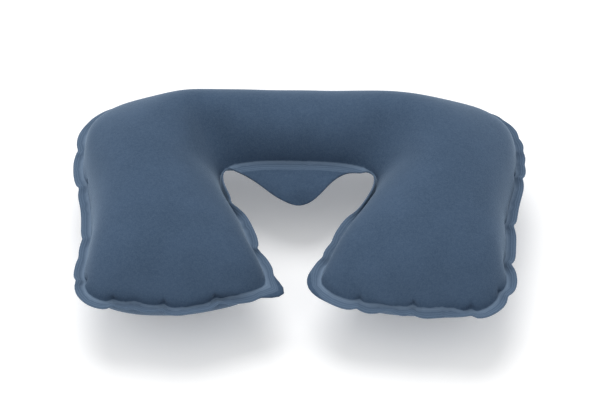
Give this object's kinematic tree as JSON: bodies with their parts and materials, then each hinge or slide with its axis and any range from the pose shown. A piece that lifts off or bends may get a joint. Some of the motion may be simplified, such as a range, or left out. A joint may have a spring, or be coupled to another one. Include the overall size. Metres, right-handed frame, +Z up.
{
  "type": "inflatable neck pillow",
  "caption": "Inflatable U-shaped neck pillow of two welded flocked films, with a wavy edge margin, a nape tab and a push-in air valve with a tethered plug.",
  "frame": {"origin": "on the ground, at the middle of the pillow's footprint", "axes": "+X to the right arm, seen from the open end; +Y from the open end to the back tube; +Z up, square to the weld"},
  "size_m": [0.3686, 0.2636, 0.0982],
  "materials": {
    "flocked_film": "matte flocked velour",
    "soft_pvc": "satin soft moulding",
    "clear_pvc": "satin translucent film"
  },
  "bodies": {
    "pillow": {"upper_skin": "flocked_film", "lower_skin": "flocked_film", "valve_base": "soft_pvc", "valve_web": "soft_pvc"},
    "valve": {"valve_stem": "soft_pvc", "plug_tether": "soft_pvc"},
    "plug": {"valve_plug": "soft_pvc"},
    "flap": {"non_return_flap": "clear_pvc"}
  },
  "joints": [
    {"name": "valve_pop", "type": "slide", "parent": "pillow", "child": "valve", "axis": [0, 0.866, -0.5], "range_m": [0, 0.012], "deforming": ["valve_web"]},
    {"name": "plug_pull", "type": "slide", "parent": "valve", "child": "plug", "axis": [0, 0.866, -0.5], "range_m": [0, 0.012], "deforming": ["plug_tether"]},
    {"name": "flap_swing", "type": "hinge", "parent": "valve", "child": "flap", "pos_m": [-0.039, 0.1022, 0.0395], "axis": [0, -0.5, -0.866], "range_deg": [0, 75]}
  ]
}
